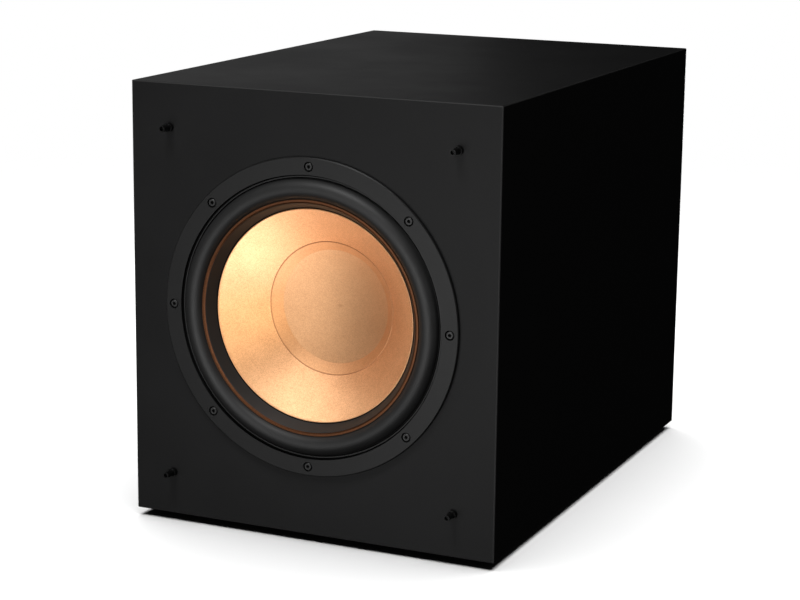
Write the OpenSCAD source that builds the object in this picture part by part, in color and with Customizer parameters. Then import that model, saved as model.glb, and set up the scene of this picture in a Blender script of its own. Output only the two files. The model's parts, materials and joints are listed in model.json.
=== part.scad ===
// Powered subwoofer, millimetres. +Z up, the driver faces -Y. Origin: centre of the floor under the whole object.

/* [Cabinet] */
// Width of the cabinet
cab_w = 394; // [380:1:420]
// Height of the cabinet, without the feet
cab_h = 440; // [430:1:480]
// Depth of the cabinet, without pegs and rear fittings
cab_d = 560; // [520:5:600]
// Thickness of the front baffle
baffle_t = 25; // [22:1:30]
// Thickness of the other panels
wall_t = 19; // [18:1:22]
// Radius of the cabinet's outer edges
edge_r = 1.5; // [0.8:0.1:2.5]
// Height of the rubber feet
foot_h = 8; // [6:0.5:10]

/* [Driver] */
// Radius of the black flange
flange_r = 158; // [157:0.5:159]
// Radius of the circle of driver screws
screw_circle_r = 149; // [148.5:0.5:149.5]
// Number of driver screws
screw_count = 8; // [4:2:8]
// How far the flange stands out from the baffle
flange_proud = 4; // [3.5:0.5:5]
// Radius of the surround's half roll
roll_r = 10; // [9.5:0.1:10]
// Largest travel of the cone, each way
cone_travel = 12; // [6:1:12]

/* [Grille pegs] */
// Distance between the pegs across the front
peg_dx = 308; // [300:1:320]
// Distance between the pegs up the front
peg_dz = 352; // [345:1:360]
// How far the pegs stand out
peg_reach = 16; // [14:0.5:18]
// Radius of a peg's tip
peg_r = 3.1; // [2.8:0.1:3.4]

/* [Amplifier] */
// Width of the amplifier plate
plate_w = 210; // [208:1:220]
// Height of the amplifier plate
plate_h = 300; // [296:1:310]
// Thickness of the amplifier plate
plate_t = 3; // [2.5:0.5:3]
// Depth of the heat sink, fins included
sink_d = 19.5; // [17:0.5:19.5]
// Number of heat sink fins
fin_count = 16; // [8:1:18]

/* [Hidden] */
$fn = 96;
eps = 0.02;

// Places in the object's own frame
gasket_t = 1.5;
rear_reach = gasket_t + plate_t + sink_d;
front_y = -(cab_d + rear_reach - peg_reach) / 2;
rear_y = front_y + cab_d;
base_z = foot_h;
top_z = foot_h + cab_h;
axis_z = foot_h + cab_h / 2;
half_w = cab_w / 2;
inner_x = half_w - wall_t;
inner_z0 = base_z + wall_t;
inner_z1 = top_z - wall_t;

// Inside of the cabinet
brace_t = 18;
brace_y = front_y + 300;
batten_w = 24;
lining_t = 20;
foot_r = 16;
foot_inset = 52;
foot_screw_r = 2;

// Driver sizes: radii from its axis, heights forward of the baffle's face
cutout_r = 144;
frame_rim_r = 143.5;
gap_r = 141;
ledge_r = 128;
surround_t = 1.5;
ledge_z = -surround_t;
basket_z = -9;
roll_c = 126.8;
roll_t = 1.4;
rim_z = 3.4;
rim_in_r = 113.6;
lip_r = 107.1;
lip_z = -8.2;
cone_t = 1.6;
cone_slope = 0.979;
neck_r = 38.6;
cap_r = 67.2;
cap_skirt_w = 9.7;
cap_skirt_t = 0.8;
cap_t = 1.2;
cap_bowl_d = 12;
former_r = 38;
former_t = 0.5;
coil_t = 1.5;
coil_z = -121;
coil_h = 26;
spider_out_r = 86;
shelf_z = -93.4;
gap_top_z = -116;
top_plate_t = 10;
magnet_t = 20;
magnet_r = 85;
magnet_in_r = 45;
gap_out_r = 41;
glue_t = 0.1;
yoke_z = gap_top_z - top_plate_t - 2 * magnet_t - glue_t;
yoke_t = 10;
former_clear = 18;
former_z0 = yoke_z + cone_travel + former_clear;
pole_r = 37;
vent_r = 12;
leg_w = 16;
screw_r = 2.5;
screw_hole_r = 2.8;
screw_head_r = 3.7;
screw_recess_r = 4.9;
tee_r = 3.5;
screw_turn = 90;

// Amplifier: offsets from the plate's centre, and depths behind the plate's outer face
plate_in_y = rear_y + gasket_t;
plate_y = plate_in_y + plate_t;
bay_w = 180;
bay_h = 270;
chassis_w = 172;
chassis_h = 268;
chassis_d = 85;
sheet_t = 2;
amp_screw_x = 98;
amp_screw_dz = 71;
amp_screw_r = 1.9;
amp_hole_r = 2.2;
level_pos = [-62, 112];
lowpass_pos = [-12, 112];
phase_pos = [36, 112];
auto_pos = [70, 112];
lamp_pos = [70, 127];
line_pos = [[-68, 68], [-46, 68], [-16, 68], [6, 68]];
inlet_pos = [-48, -108];
rocker_pos = [50, -112];
toroid_pos = [20, -62];
toroid_bolt_r = 3;
lamp_r = 2.5;
shaft_r = 3;
bush_r = 4.4;
knob_r = 11;
knob_h = 15;
knob_gap = 0.8;
slot_l = 9;
slot_w = 4.6;
slider_l = 4;
slider_w = 3.8;
switch_travel = 4;
line_r = 4.15;
line_l = 9.5;
line_root_r = 4.6;
line_ring_r = 6.2;
line_ring_h = 1.5;
socket_w = 25;
socket_h = 17.5;
socket_d = 16;
inlet_w = 30;
inlet_h = 46;
drawer_w = 25.4;
drawer_h = 8.4;
drawer_d = 15;
drawer_dz = -13.5;
inlet_lip = 2.5;
fuse_dz = 3.5;
rocker_w = 13;
rocker_l = 20;
rocker_rest = 9;
rocker_pin_r = 1.2;
fuse_r = 2.5;

// ---- Helpers ----

// A box between two corners, given as ranges
module block(x, y, z) {
    translate([x[0], y[0], z[0]]) cube([x[1] - x[0], y[1] - y[0], z[1] - z[0]]);
}

// A round bar along Y
module rod_y(x, z, y, r) {
    translate([x, y[0], z]) rotate([-90, 0, 0]) cylinder(h = y[1] - y[0], r = r);
}

// A flat rectangle with round corners, centred
module round_rect(w, h, r) {
    square([w - 2 * r, h], center = true);
    square([w, h - 2 * r], center = true);
    for (sx = [-1, 1], sy = [-1, 1])
        translate([sx * (w / 2 - r), sy * (h / 2 - r)]) circle(r);
}

// A plate with round corners that faces Y, centred on x and z
module plate_y(x, z, y, w, h, r) {
    translate([x, y[1], z]) rotate([90, 0, 0]) linear_extrude(y[1] - y[0]) round_rect(w, h, r);
}

// The driver's frame of reference: its axis is local Z, forward out of the baffle
module on_driver() {
    translate([0, front_y, axis_z]) rotate([90, 0, 0]) children();
}

// A place on the amplifier plate's outer face, with local Z pointing out at the back
module on_plate(pos = [0, 0]) {
    translate([pos[0], plate_y, axis_z + pos[1]]) rotate([-90, 0, 0]) children();
}

// Copies round the driver's screw circle
module round_screws() {
    for (i = [0:screw_count - 1])
        rotate(screw_turn + i * 360 / screw_count) translate([screw_circle_r, 0, 0]) children();
}

// The cabinet's outer form, with a small radius on every edge
module envelope() {
    intersection() {
        translate([0, front_y + cab_d / 2, base_z]) linear_extrude(cab_h) round_rect(cab_w, cab_d, edge_r);
        translate([0, rear_y, axis_z]) rotate([90, 0, 0]) linear_extrude(cab_d)
            round_rect(cab_w, cab_h, edge_r);
        translate([-half_w, front_y + cab_d / 2, axis_z]) rotate([0, 90, 0]) linear_extrude(cab_w)
            round_rect(cab_h, cab_d, edge_r);
    }
}

module panel(x, y, z) {
    intersection() {
        block(x, y, z);
        envelope();
    }
}

// A tube along a list of points: rings of corners, with a fan on each end
function unit(v) = v / norm(v);
function heading(p, i) = unit(p[min(i + 1, len(p) - 1)] - p[max(i - 1, 0)]);
function across(v) = unit(cross(v, abs(v[2]) > 0.9 ? [1, 0, 0] : [0, 0, 1]));
function ring_at(c, v, r, n) = let (a = across(v), b = cross(v, a))
    [for (k = [0:n - 1]) c + r * (cos(360 * k / n) * a + sin(360 * k / n) * b)];
function curve(a, b, c, d, t) = (1 - t) ^ 3 * a + 3 * (1 - t) ^ 2 * t * b + 3 * (1 - t) * t ^ 2 * c + t ^ 3 * d;
function curve_points(a, b, c, d, steps) = [for (i = [0:steps]) curve(a, b, c, d, i / steps)];

module tube(p, r, n = 8) {
    rings = [for (i = [0:len(p) - 1]) each ring_at(p[i], heading(p, i), r, n)];
    sides = [for (i = [0:len(p) - 2], k = [0:n - 1])
        [i * n + k, i * n + (k + 1) % n, (i + 1) * n + (k + 1) % n, (i + 1) * n + k]];
    ends = [[for (k = [n - 1:-1:0]) k], [for (k = [0:n - 1]) (len(p) - 1) * n + k]];
    polyhedron(rings, concat(sides, ends));
}

// ---- Cabinet ----

foot_places = [for (sx = [-1, 1], sy = [-1, 1])
    [sx * (half_w - foot_inset), (front_y + rear_y) / 2 + sy * (cab_d / 2 - foot_inset)]];
peg_places = [for (sx = [-1, 1], sz = [-1, 1]) [sx * peg_dx / 2, axis_z + sz * peg_dz / 2]];
amp_screw_places = [for (sx = [-1, 1], i = [-2:2]) [sx * amp_screw_x, axis_z + i * amp_screw_dz]];
peg_root_r = 3.5;
peg_root_l = 14;

module front_baffle() {
    color("#1d1d1e") difference() {
        panel([-half_w, half_w], [front_y, front_y + baffle_t], [base_z, top_z]);
        rod_y(0, axis_z, [front_y - 1, front_y + baffle_t + 1], cutout_r);
        on_driver() round_screws() translate([0, 0, -baffle_t - 1]) cylinder(h = baffle_t + 2, r = tee_r + 0.1);
        for (p = peg_places) rod_y(p[0], p[1], [front_y - 1, front_y + peg_root_l], peg_root_r);
    }
}

module rear_panel() {
    color("#1a1a1b") difference() {
        panel([-half_w, half_w], [rear_y - wall_t, rear_y], [base_z, top_z]);
        block([-bay_w / 2, bay_w / 2], [rear_y - wall_t - 1, rear_y + 1],
            [axis_z - bay_h / 2, axis_z + bay_h / 2]);
        for (p = amp_screw_places) rod_y(p[0], p[1], [rear_y - 15, rear_y + 1], amp_screw_r + 0.05);
    }
}

mid_y = [front_y + baffle_t, rear_y - wall_t];

module top_panel() {
    color("#1c1c1d") panel([-inner_x, inner_x], mid_y, [inner_z1, top_z]);
}

module bottom_panel() {
    color("#171718") difference() {
        panel([-inner_x, inner_x], mid_y, [base_z, inner_z0]);
        for (p = foot_places) translate([p[0], p[1], base_z - 1]) cylinder(h = 16, r = foot_screw_r + 0.05);
    }
}

module left_side_panel() {
    color("#1a1a1b") panel([-half_w, -inner_x], mid_y, [base_z, top_z]);
}

module right_side_panel() {
    color("#1a1a1b") panel([inner_x, half_w], mid_y, [base_z, top_z]);
}

module window_brace() {
    window_w = 150;
    window_h = 160;
    rail = 28;
    color("#8a6f52") difference() {
        block([-inner_x, inner_x], [brace_y, brace_y + brace_t], [inner_z0, inner_z1]);
        for (sx = [-1, 1], sz = [-1, 1])
            plate_y(sx * (rail + window_w) / 2, axis_z + sz * (rail + window_h) / 2,
                [brace_y - 1, brace_y + brace_t + 1], window_w, window_h, 20);
    }
}

bays = [[mid_y[0], brace_y], [brace_y + brace_t, mid_y[1]]];

module corner_battens() {
    color("#a3875f") for (bay = bays, sx = [-1, 1], sz = [-1, 1]) {
        x = sx * (inner_x - batten_w / 2);
        z = axis_z + sz * (cab_h / 2 - wall_t - batten_w / 2);
        block([x - batten_w / 2, x + batten_w / 2], bay, [z - batten_w / 2, z + batten_w / 2]);
    }
}

module damping_lining() {
    gap = 6;
    x1 = inner_x - batten_w - gap;
    z0 = inner_z0 + batten_w + gap;
    z1 = inner_z1 - batten_w - gap;
    color("#c9c5ba") for (bay = bays) {
        y = [bay[0] + 2 * gap, bay[1] - gap];
        for (sx = [-1, 1])
            block([sx * (inner_x - lining_t / 2) - lining_t / 2, sx * (inner_x - lining_t / 2) + lining_t / 2],
                y, [z0, z1]);
        block([-x1, x1], y, [inner_z0, inner_z0 + lining_t]);
        block([-x1, x1], y, [inner_z1 - lining_t, inner_z1]);
    }
}

module rubber_feet() {
    head_r = 5.5;
    head_d = 4;
    color("#141414") for (p = foot_places) translate([p[0], p[1], 0]) difference() {
        cylinder(h = foot_h, r1 = foot_r - 2, r2 = foot_r);
        translate([0, 0, -1]) cylinder(h = head_d + 1, r = head_r);
        cylinder(h = foot_h + 1, r = foot_screw_r + 0.2);
    }
}

module foot_screws() {
    color("#8d8d90") for (p = foot_places) translate([p[0], p[1], 0]) difference() {
        union() {
            translate([0, 0, 1.6]) cylinder(h = 2.4, r = 4.2);
            translate([0, 0, 4 - eps]) cylinder(h = foot_h + 9, r = foot_screw_r);
        }
        for (a = [0, 90]) rotate(a) translate([-2.4, -0.45, 1]) cube([4.8, 0.9, 1.8]);
    }
}

module grille_pegs() {
    collar_r = 4.4;
    collar_l = 4.5;
    neck_l = 1.5;
    bore_r = 2.1;
    bore_l = 4;
    color("#101010") for (p = peg_places) translate([p[0], front_y, p[1]]) rotate([90, 0, 0]) difference() {
        union() {
            translate([0, 0, -peg_root_l + 0.5]) cylinder(h = peg_root_l - 0.5 + eps, r = peg_root_r);
            cylinder(h = collar_l, r = collar_r);
            translate([0, 0, collar_l]) cylinder(h = neck_l, r1 = collar_r - 0.6, r2 = peg_r);
            cylinder(h = peg_reach, r = peg_r);
        }
        translate([0, 0, peg_reach - bore_l]) cylinder(h = bore_l + 1, r = bore_r);
    }
}

// ---- Driver, fixed pieces ----

// Half outline of the flange: the visible ring, the ledge under the surround and the throat behind it
module flange_outline() {
    polygon([
        [flange_r, 1], [flange_r, flange_proud - 0.8], [flange_r - 0.8, flange_proud],
        [gap_r, flange_proud], [gap_r, ledge_z], [ledge_r, ledge_z], [ledge_r, basket_z],
        [frame_rim_r, basket_z], [frame_rim_r, 1]
    ]);
}

// Half outline of the basket: sloping wall, spider shelf, step and motor ring
module basket_outline() {
    wall = 3;
    shelf_in_r = 76;
    motor_in_r = 46;
    polygon([
        [ledge_r, basket_z], [spider_out_r + 5, shelf_z + 8], [spider_out_r + 1, shelf_z + 2],
        [spider_out_r + 1, shelf_z], [shelf_in_r, shelf_z], [shelf_in_r, shelf_z - 3],
        [shelf_in_r - 5, gap_top_z + 3], [motor_in_r, gap_top_z + 3], [motor_in_r, gap_top_z],
        [shelf_in_r - 2, gap_top_z], [shelf_in_r + 4, shelf_z - 6],
        [spider_out_r + 6, shelf_z - 4], [ledge_r + wall + 2, basket_z - 6],
        [frame_rim_r, basket_z - 3], [frame_rim_r, basket_z]
    ]);
}

window_z = [shelf_z + 6, -20];

// The six openings between the basket's straight legs
module frame_windows() {
    reach = 150;
    half = 30;
    for (i = [0:5]) rotate(i * 60) translate([0, 0, window_z[0]]) linear_extrude(window_z[1] - window_z[0])
        polygon([[leg_w, 0], [leg_w + reach * cos(half), reach * sin(half)],
            [leg_w + reach * cos(half), -reach * sin(half)]]);
}

module driver_flange() {
    color("#202021") on_driver() difference() {
        rotate_extrude() flange_outline();
        round_screws() {
            translate([0, 0, -1]) cylinder(h = flange_proud + 2, r = screw_hole_r);
            translate([0, 0, 1.6]) cylinder(h = flange_proud, r = screw_recess_r);
        }
    }
}

module driver_basket() {
    color("#202021") on_driver() difference() {
        rotate_extrude() basket_outline();
        frame_windows();
    }
}

module frame_gasket() {
    color("#0c0c0c") on_driver() difference() {
        cylinder(h = 1, r = flange_r - 1.2);
        translate([0, 0, -1]) cylinder(h = 3, r = cutout_r + 0.4);
        round_screws() translate([0, 0, -1]) cylinder(h = 3, r = screw_hole_r);
    }
}

module driver_screws() {
    head_h = flange_proud - 1.8;
    socket_r = 1.9;
    color("#3a3a3c") on_driver() round_screws() difference() {
        union() {
            translate([0, 0, 1.6]) cylinder(h = head_h - 0.5, r = screw_head_r);
            translate([0, 0, 1.1 + head_h]) cylinder(h = 0.5, r1 = screw_head_r, r2 = screw_head_r - 0.5);
            translate([0, 0, -baffle_t - 4]) cylinder(h = baffle_t + 6, r = screw_r);
        }
        translate([0, 0, 1.6 + head_h - 1.9]) cylinder(h = 3, r = socket_r, $fn = 6);
    }
}

module tee_nuts() {
    color("#b9bcc0") on_driver() round_screws() difference() {
        union() {
            translate([0, 0, -baffle_t - 1.2]) cylinder(h = 1.2, r = 7);
            translate([0, 0, -baffle_t - eps]) cylinder(h = 11, r = tee_r);
        }
        translate([0, 0, -baffle_t - 3]) cylinder(h = 16, r = screw_r + 0.05);
    }
}

// The block stands on the sill of one basket window, with its tabs pointing out
block_x = [88, 104];
block_z = window_z[0];
tab_y = 9;
tab_l = 9;
tab_z = block_z + 3;

module terminal_block() {
    color("#161616") on_driver()
        translate([block_x[0], -16, block_z]) cube([block_x[1] - block_x[0], 32, 9]);
}

module terminal_tabs() {
    color("#c7a35a") on_driver() for (sy = [-1, 1])
        translate([block_x[1], sy * tab_y - 3, tab_z]) cube([tab_l, 6, 0.8]);
}

module washer(z, h, r_in, r_out) {
    translate([0, 0, z]) difference() {
        cylinder(h = h, r = r_out);
        translate([0, 0, -1]) cylinder(h = h + 2, r = r_in);
    }
}

module top_plate() {
    color("#5d6063") on_driver() washer(gap_top_z - top_plate_t, top_plate_t, gap_out_r, magnet_r - 6);
}

module magnet_rings() {
    first = gap_top_z - top_plate_t - magnet_t;
    color("#3b3b3d") on_driver() {
        washer(first, magnet_t, magnet_in_r, magnet_r);
        washer(first - glue_t - magnet_t, magnet_t, magnet_in_r, magnet_r);
    }
}

module pole_yoke() {
    color("#5d6063") on_driver() difference() {
        union() {
            translate([0, 0, yoke_z - yoke_t]) cylinder(h = yoke_t, r = magnet_r - 5);
            translate([0, 0, yoke_z - eps]) cylinder(h = gap_top_z - yoke_z, r = pole_r);
        }
        translate([0, 0, yoke_z - yoke_t - 1]) cylinder(h = gap_top_z - yoke_z + yoke_t + 3, r = vent_r);
    }
}

module magnet_boot() {
    boot_t = 3;
    boot_h = 2 * magnet_t + glue_t + yoke_t;
    color("#121212") on_driver() difference() {
        translate([0, 0, yoke_z - yoke_t - boot_t]) cylinder(h = boot_h + boot_t, r = magnet_r + boot_t);
        translate([0, 0, yoke_z - yoke_t]) cylinder(h = boot_h + 1, r = magnet_r);
        translate([0, 0, yoke_z - yoke_t - boot_t - 1]) cylinder(h = boot_t + 2, r = magnet_r - 20);
    }
}

// ---- Driver, pieces that move or flex ----

// Height of the cone's front face at a radius
function cone_z(r) = lip_z - (lip_r - r) * cone_slope;

// Half outline of the surround: flat foot on the frame, half roll, flat rim and inner lip
module surround_outline() {
    translate([roll_c, 0]) intersection() {
        difference() {
            circle(roll_r);
            circle(roll_r - roll_t);
        }
        polygon([[0, 0], [20, 0], [20, 20], [-20, 20], [-20, rim_z - roll_t], [0, rim_z - roll_t]]);
    }
    translate([roll_c + roll_r - roll_t, ledge_z]) square([gap_r - 0.3 - roll_c - roll_r + roll_t, surround_t]);
    polygon([
        [lip_r, lip_z], [rim_in_r, rim_z], [roll_c - roll_r + 1.4, rim_z],
        [roll_c - roll_r + 1.4, rim_z - roll_t], [rim_in_r + 1.4, rim_z - roll_t],
        [lip_r + 1.4, cone_z(lip_r + 1.4)]
    ]);
}

module surround() {
    color("#1b1b1c") on_driver() rotate_extrude() surround_outline();
}

// Where the cone's skin ends under the foot of the surround: front and back of its edge
skin_end = [[lip_r + 1.4, cone_z(lip_r + 1.4)], [lip_r + 2.9, cone_z(lip_r + 2.9) - cone_t * 1.6]];

module cone() {
    color("#b87440") on_driver() rotate_extrude()
        polygon(concat([[neck_r, cone_z(neck_r)]], skin_end, [[neck_r, cone_z(neck_r) - cone_t * 1.4]]));
}

// The cone's turned-up edge, bonded behind the surround's foot
module cone_edge() {
    rim_out_r = 119.5;
    edge_t = 1.2;
    under = rim_z - roll_t;
    color("#a0663a") on_driver() rotate_extrude() polygon([
        skin_end[0], [rim_in_r + 1.4, under], [rim_out_r, under], [rim_out_r, under - edge_t],
        [rim_in_r + 1.4 + edge_t, under - edge_t], skin_end[1]
    ]);
}

module rim_ring() {
    color("#b5672f") on_driver() rotate_extrude() polygon([
        [rim_in_r + 0.2, rim_z], [rim_in_r + 0.2, rim_z + 0.5], [rim_in_r + 1.4, rim_z + 1.1],
        [roll_c - roll_r + 0.1, rim_z + 1.1], [roll_c - roll_r + 0.5, rim_z + 0.6], [roll_c - roll_r + 0.5, rim_z]
    ]);
}

// A dished cap with a narrow skirt glued on the cone: the bowl is part of a large sphere
module dust_cap() {
    bowl_r = cap_r - cap_skirt_w;
    edge_z = cone_z(bowl_r) + cap_skirt_t;
    ball_r = (bowl_r ^ 2 + cap_bowl_d ^ 2) / (2 * cap_bowl_d);
    ball_z = edge_z + ball_r - cap_bowl_d;
    color("#b98052") on_driver() rotate_extrude() difference() {
        union() {
            polygon([[0, edge_z], [bowl_r, edge_z], [cap_r - 0.5, cone_z(cap_r - 0.5) + cap_skirt_t],
                [cap_r, cone_z(cap_r)], [bowl_r - 1, cone_z(bowl_r - 1)], [0, cone_z(bowl_r - 1)]]);
            intersection() {
                translate([0, ball_z]) circle(ball_r + cap_t, $fn = 360);
                translate([0, edge_z - cap_bowl_d - 2 * cap_t]) square([bowl_r - 1, cap_bowl_d + 2 * cap_t]);
            }
        }
        intersection() {
            translate([0, ball_z]) circle(ball_r, $fn = 360);
            translate([0, edge_z - 2 * cap_bowl_d]) square([bowl_r, 3 * cap_bowl_d]);
        }
    }
}

module coil_former() {
    top = cone_z(neck_r);
    color("#cfa94e") on_driver() washer(former_z0, top - former_z0, former_r, former_r + former_t);
}

module voice_coil() {
    color("#a4532a") on_driver()
        washer(coil_z - coil_h / 2, coil_h, former_r + former_t, former_r + former_t + coil_t);
}

// A round corrugated cloth, drawn as a wave between the coil former and the frame's shelf
module spider() {
    in_r = former_r + former_t;
    flat_in = 44;
    flat_out = 74;
    waves = 5;
    height = 2;
    thick = 0.8;
    steps = 60;
    wave = [for (i = [0:steps]) let (r = flat_in + (flat_out - flat_in) * i / steps)
        [r, height * sin(360 * waves * i / steps)]];
    upper = concat([[in_r, 0]], wave, [[spider_out_r, 0]]);
    color("#c9a227") on_driver() translate([0, 0, shelf_z + thick]) rotate_extrude()
        polygon(concat(upper, [for (i = [len(upper) - 1:-1:0]) upper[i] - [0, thick]]));
}

module tinsel_leads() {
    r = 0.9;
    lead_end = [58, 8, cone_z(58) - cone_t * 1.4 - 2 * r];
    color("#b87333") on_driver() for (sy = [-1, 1]) {
        from = [block_x[0] - 0.4, sy * 6, block_z + 5];
        to = [lead_end[0], sy * lead_end[1], lead_end[2]];
        tube(curve_points(from, from - [10, 0, 2], to + [6, 0, -12], to, 12), r);
    }
}

// ---- Amplifier ----

module amp_plate() {
    color("#1b1b1c") difference() {
        plate_y(0, axis_z, [plate_in_y, plate_y], plate_w, plate_h, 4);
        on_plate(level_pos) translate([0, 0, -10]) cylinder(h = 20, r = bush_r + 0.1);
        on_plate(lowpass_pos) translate([0, 0, -10]) cylinder(h = 20, r = bush_r + 0.1);
        for (p = [phase_pos, auto_pos]) on_plate(p) cube([slot_l, slot_w, 20], center = true);
        on_plate(lamp_pos) translate([0, 0, -10]) cylinder(h = 20, r = lamp_r + 0.1);
        for (p = line_pos) on_plate(p) translate([0, 0, -10]) cylinder(h = 20, r = line_r + 0.6);
        on_plate(inlet_pos) cube([inlet_w + 0.6, inlet_h + 0.6, 20], center = true);
        on_plate(rocker_pos) cube([19.4, 27.4, 20], center = true);
        on_plate(toroid_pos) translate([0, 0, -10]) cylinder(h = 20, r = toroid_bolt_r + 0.1);
        for (p = amp_screw_places) rod_y(p[0], p[1], [plate_in_y - 1, plate_y + 1], amp_hole_r);
    }
}

module amp_gasket() {
    color("#0c0c0c") difference() {
        plate_y(0, axis_z, [rear_y, plate_in_y], plate_w - 2, plate_h - 2, 3);
        block([-bay_w / 2, bay_w / 2], [rear_y - 1, plate_in_y + 1], [axis_z - bay_h / 2, axis_z + bay_h / 2]);
        for (p = amp_screw_places) rod_y(p[0], p[1], [rear_y - 1, plate_in_y + 1], amp_hole_r);
    }
}

module amp_screws() {
    head_r = 4;
    head_h = 2.4;
    color("#2a2a2b") for (p = amp_screw_places) translate([p[0], plate_y, p[1]]) rotate([-90, 0, 0]) difference() {
        union() {
            cylinder(h = head_h - 1, r = head_r);
            translate([0, 0, head_h - 1]) cylinder(h = 1, r1 = head_r, r2 = head_r - 1.2);
            translate([0, 0, -18]) cylinder(h = 18 + eps, r = amp_screw_r);
        }
        for (a = [0, 90]) rotate(a) translate([-2.2, -0.45, head_h - 1.5]) cube([4.4, 0.9, 3]);
    }
}

module heat_sink() {
    sink_w = 180;
    sink_h = 76;
    base_t = 4;
    fin_t = 2;
    pitch = (sink_w - fin_t) / (fin_count - 1);
    color("#151516") {
        block([-sink_w / 2, sink_w / 2], [plate_y, plate_y + base_t], [axis_z - sink_h / 2, axis_z + sink_h / 2]);
        for (i = [0:fin_count - 1])
            block([-sink_w / 2 + i * pitch, -sink_w / 2 + i * pitch + fin_t],
                [plate_y + base_t - eps, plate_y + sink_d], [axis_z - sink_h / 2, axis_z + sink_h / 2]);
    }
}

cable_start = [60, plate_in_y - chassis_d, axis_z + 84];
cable_r = 2;

module amp_chassis() {
    color("#8f9296") difference() {
        block([-chassis_w / 2, chassis_w / 2], [plate_in_y - chassis_d, plate_in_y],
            [axis_z - chassis_h / 2, axis_z + chassis_h / 2]);
        block([-chassis_w / 2 + sheet_t, chassis_w / 2 - sheet_t], [plate_in_y - chassis_d + sheet_t, plate_in_y + 1],
            [axis_z - chassis_h / 2 + sheet_t, axis_z + chassis_h / 2 - sheet_t]);
        for (sx = [-1, 1]) rod_y(cable_start[0] + sx * 3, cable_start[2], [plate_in_y - chassis_d - 1,
            plate_in_y - chassis_d + 4], cable_r + 0.1);
    }
}

board_y = plate_in_y - 14;
power_y = plate_in_y - 62;

module control_board() {
    color("#2f6b3a") block([-78, 78], [board_y - 1.6, board_y], [axis_z + 52, axis_z + 128]);
}

module power_board() {
    color("#2f6b3a") block([-78, 78], [power_y - 1.6, power_y], [axis_z - 22, axis_z + 44]);
}

module toroid_transformer() {
    core_r = 17;
    tube_r = 13;
    color("#b5652c") on_plate(toroid_pos) translate([0, 0, -plate_t - tube_r - 2]) rotate_extrude() {
        translate([core_r + 4, 0]) circle(tube_r);
    }
}

module toroid_bolt() {
    stem_l = 38;
    color("#9a9c9f") on_plate(toroid_pos) {
        cylinder(h = 3, r = 5.5, $fn = 6);
        translate([0, 0, -stem_l]) cylinder(h = stem_l + eps, r = toroid_bolt_r);
        translate([0, 0, -plate_t - 30.5]) cylinder(h = 1.5, r = 22);
    }
}

module filter_capacitors() {
    color("#2b3a55") for (sx = [-1, 1]) {
        rod_y(sx * 32, axis_z + 12, [power_y, power_y + 36], 12.5);
        rod_y(sx * 32, axis_z + 12, [power_y + 36 - eps, power_y + 37], 11);
    }
}

module output_transistors() {
    color("#1a1a1a") for (x = [-66, -22, 22, 66])
        block([x - 7.5, x + 7.5], [plate_in_y - 5, plate_in_y], [axis_z - 14, axis_z + 6]);
}

module pot_bodies() {
    body_w = 16;
    body_d = 10;
    color("#6d7074") for (p = [level_pos, lowpass_pos]) on_plate(p) difference() {
        union() {
            translate([-body_w / 2, -body_w / 2, -plate_t - body_d]) cube([body_w, body_w, body_d]);
            translate([0, 0, -plate_t - eps]) cylinder(h = plate_t + 0.4, r = bush_r);
        }
        translate([0, 0, -plate_t - body_d + 2]) cylinder(h = 30, r = shaft_r + 0.06);
    }
}

module knob(pos) {
    grooves = 24;
    groove_r = 0.9;
    skirt_h = 3;
    color("#191919") on_plate(pos) difference() {
        union() {
            translate([0, 0, knob_gap]) cylinder(h = skirt_h, r = knob_r + 1);
            translate([0, 0, knob_gap + skirt_h]) cylinder(h = knob_h - skirt_h - 1, r = knob_r);
            translate([0, 0, knob_gap + knob_h - 1]) cylinder(h = 1, r1 = knob_r, r2 = knob_r - 1);
        }
        for (i = [0:grooves - 1]) rotate(i * 360 / grooves) translate([knob_r + 0.3, 0, knob_gap + skirt_h + 0.6])
            cylinder(h = knob_h, r = groove_r, $fn = 24);
        translate([0, 0, knob_gap - 1]) cylinder(h = knob_h - 3, r = shaft_r);
        translate([-0.6, -knob_r + 1.2, knob_gap + knob_h - 0.6]) cube([1.2, knob_r - 2, 2]);
    }
}

module shaft(pos) {
    end = knob_gap + knob_h - 4;
    color("#b9bcc0") on_plate(pos) translate([0, 0, -plate_t - 7.5]) cylinder(h = plate_t + 7.5 + end, r = shaft_r);
}

module level_knob() knob(level_pos);
module lowpass_knob() knob(lowpass_pos);
module level_shaft() shaft(level_pos);
module lowpass_shaft() shaft(lowpass_pos);

module slide_switches() {
    body = [24, 10, 8];
    color("#6d7074") for (p = [phase_pos, auto_pos]) on_plate(p) difference() {
        translate([-body[0] / 2, -body[1] / 2, -plate_t - body[2]]) cube(body);
        translate([-slot_l / 2, -slot_w / 2, -plate_t - 5]) cube([slot_l, slot_w, 10]);
    }
}

// The potentiometers and slide switches that sit behind the plate on the control board
module control_bodies() {
    pot_bodies();
    slide_switches();
}

// The slider rests at the left end of its slot
module slider(pos) {
    color("#2c2c2d") on_plate(pos) translate([-switch_travel / 2 - slider_l / 2, -slider_w / 2, -plate_t - 4.6]) {
        cube([slider_l, slider_w, plate_t + 4.6 + 2.4]);
    }
}

module phase_slider() slider(phase_pos);
module auto_slider() slider(auto_pos);

rocker_axis = 0.4;

module rocker_bezel() {
    flange_t = 2;
    color("#161616") on_plate(rocker_pos) difference() {
        union() {
            translate([-12, -16, 0]) cube([24, 32, flange_t]);
            translate([-9.5, -13.5, -plate_t - 17]) cube([19, 27, plate_t + 17 + eps]);
        }
        translate([-rocker_w / 2 - 0.4, -rocker_l / 2 - 1.2, rocker_axis - 8])
            cube([rocker_w + 0.8, rocker_l + 2.4, 20]);
        translate([0, 0, rocker_axis]) rotate([0, 90, 0])
            cylinder(h = rocker_w + 3.6, r = rocker_pin_r + 0.07, center = true);
    }
}

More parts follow.
